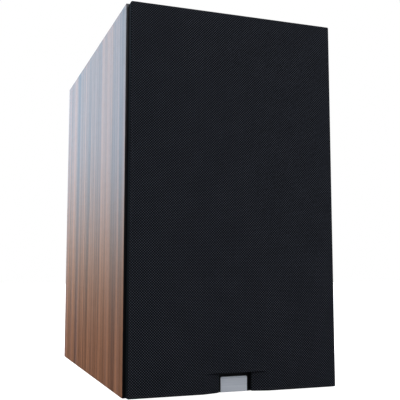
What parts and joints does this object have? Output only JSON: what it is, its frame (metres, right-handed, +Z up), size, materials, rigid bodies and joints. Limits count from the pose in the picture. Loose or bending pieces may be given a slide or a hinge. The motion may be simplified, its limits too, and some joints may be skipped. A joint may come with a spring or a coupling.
{
  "type": "bookshelf speaker",
  "caption": "Two-way box loudspeaker for a shelf, with a pull-off cloth grille, rear bass port and screw-down wire terminals.",
  "frame": {"origin": "centre of the cabinet's flat underside, where it rests", "axes": "+Z up, the grille and baffle face -Y, +X to the right seen from the front"},
  "size_m": [0.211, 0.3406, 0.359],
  "materials": {
    "walnut_veneer": "satin walnut wrap, straight vertical grain",
    "black_lacquer": "satin black lacquer over board",
    "raw_board": "raw fibreboard",
    "badge_metal": "brushed, blank",
    "polyester_wadding": "lofted fibre",
    "steel_plate": "zinc plated",
    "grille_plastic": "moulded black",
    "grille_cloth": "black knitted cloth with a fine diagonal weave",
    "magnet_plating": "nickel plated",
    "painted_steel": "satin black",
    "surround_rubber": "soft matt",
    "spider_cloth": "resin-stiffened weave",
    "cone_paper": "black pulp, air dried",
    "coil_former": "amber film with copper winding",
    "ferrite": "dull dark grey",
    "dome_silk": "coated weave",
    "black_plastic": "moulded black",
    "red_plastic": "moulded red",
    "gold_plate": "gilt",
    "circuit_board": "green mask",
    "copper_winding": "enamelled copper",
    "capacitor_sleeve": "shrink sleeve",
    "lead_sleeve": "flexible sleeve"
  },
  "bodies": {
    "cabinet": {"left_side_panel": "walnut_veneer", "right_side_panel": "walnut_veneer", "top_panel": "walnut_veneer", "bottom_panel": "walnut_veneer", "back_panel": "walnut_veneer", "front_baffle": "black_lacquer", "window_brace": "raw_board", "badge_plate": "badge_metal", "damping_wadding": "polyester_wadding", "baffle_keeper_1": "steel_plate", "baffle_keeper_2": "steel_plate", "baffle_keeper_3": "steel_plate", "baffle_keeper_4": "steel_plate", "woofer_top_plate": "steel_plate", "woofer_back_plate": "steel_plate", "tweeter_top_plate": "steel_plate", "tweeter_back_plate": "steel_plate", "tweeter_waveguide": "grille_plastic", "woofer_basket": "painted_steel", "woofer_screw_1": "painted_steel", "woofer_screw_2": "painted_steel", "woofer_screw_3": "painted_steel", "woofer_screw_4": "painted_steel", "tweeter_screw_1": "painted_steel", "tweeter_screw_2": "painted_steel", "tweeter_screw_3": "painted_steel", "cup_screw_1": "painted_steel", "cup_screw_2": "painted_steel", "cup_screw_3": "painted_steel", "cup_screw_4": "painted_steel", "woofer_surround": "surround_rubber", "woofer_spider": "spider_cloth", "woofer_magnet": "ferrite", "tweeter_magnet": "ferrite", "tweeter_surround": "dome_silk", "port_tube": "black_plastic", "terminal_cup": "black_plastic", "red_post": "gold_plate", "black_post": "gold_plate", "crossover_board": "circuit_board", "woofer_inductor": "copper_winding", "tweeter_inductor": "copper_winding", "woofer_capacitor": "capacitor_sleeve", "tweeter_capacitor": "capacitor_sleeve", "woofer_lead": "lead_sleeve", "tweeter_lead": "lead_sleeve"},
    "grille": {"grille_frame": "grille_plastic", "grille_cloth": "grille_cloth", "grille_magnet_1": "magnet_plating", "grille_magnet_2": "magnet_plating", "grille_magnet_3": "magnet_plating", "grille_magnet_4": "magnet_plating"},
    "woofer_diaphragm": {"woofer_cone": "cone_paper", "woofer_dust_cap": "cone_paper", "woofer_voice_coil": "coil_former"},
    "tweeter_diaphragm": {"tweeter_dome": "dome_silk"},
    "red_clamp": {"red_washer": "gold_plate"},
    "red_grip": {"red_knob": "red_plastic"},
    "black_clamp": {"black_washer": "gold_plate"},
    "black_grip": {"black_knob": "black_plastic"}
  },
  "joints": [
    {"name": "grille_pull", "type": "slide", "parent": "cabinet", "child": "grille", "axis": [0, -1, 0], "range_m": [0, 0.08]},
    {"name": "woofer_travel", "type": "slide", "parent": "cabinet", "child": "woofer_diaphragm", "axis": [0, -1, 0], "range_m": [-0.005, 0.005], "stiffness_N_per_m": 1200, "deforming": ["woofer_surround", "woofer_spider"]},
    {"name": "tweeter_travel", "type": "slide", "parent": "cabinet", "child": "tweeter_diaphragm", "axis": [0, -1, 0], "range_m": [-0.0005, 0.0005], "stiffness_N_per_m": 1500, "deforming": ["tweeter_surround"]},
    {"name": "red_clamp_travel", "type": "slide", "parent": "cabinet", "child": "red_clamp", "axis": [0, 1, 0], "range_m": [0, 0.005]},
    {"name": "red_knob_turn", "type": "hinge", "parent": "red_clamp", "child": "red_grip", "pos_m": [0.019, 0.15, 0.095], "axis": [0, -1, 0], "range_deg": [0, 1800]},
    {"name": "black_clamp_travel", "type": "slide", "parent": "cabinet", "child": "black_clamp", "axis": [0, 1, 0], "range_m": [0, 0.005]},
    {"name": "black_knob_turn", "type": "hinge", "parent": "black_clamp", "child": "black_grip", "pos_m": [-0.019, 0.15, 0.095], "axis": [0, -1, 0], "range_deg": [0, 1800]}
  ],
  "couplings": [
    {"joint": "red_knob_turn", "follows": "red_clamp_travel", "rad_per_m": 6283},
    {"joint": "black_knob_turn", "follows": "black_clamp_travel", "rad_per_m": 6283}
  ]
}
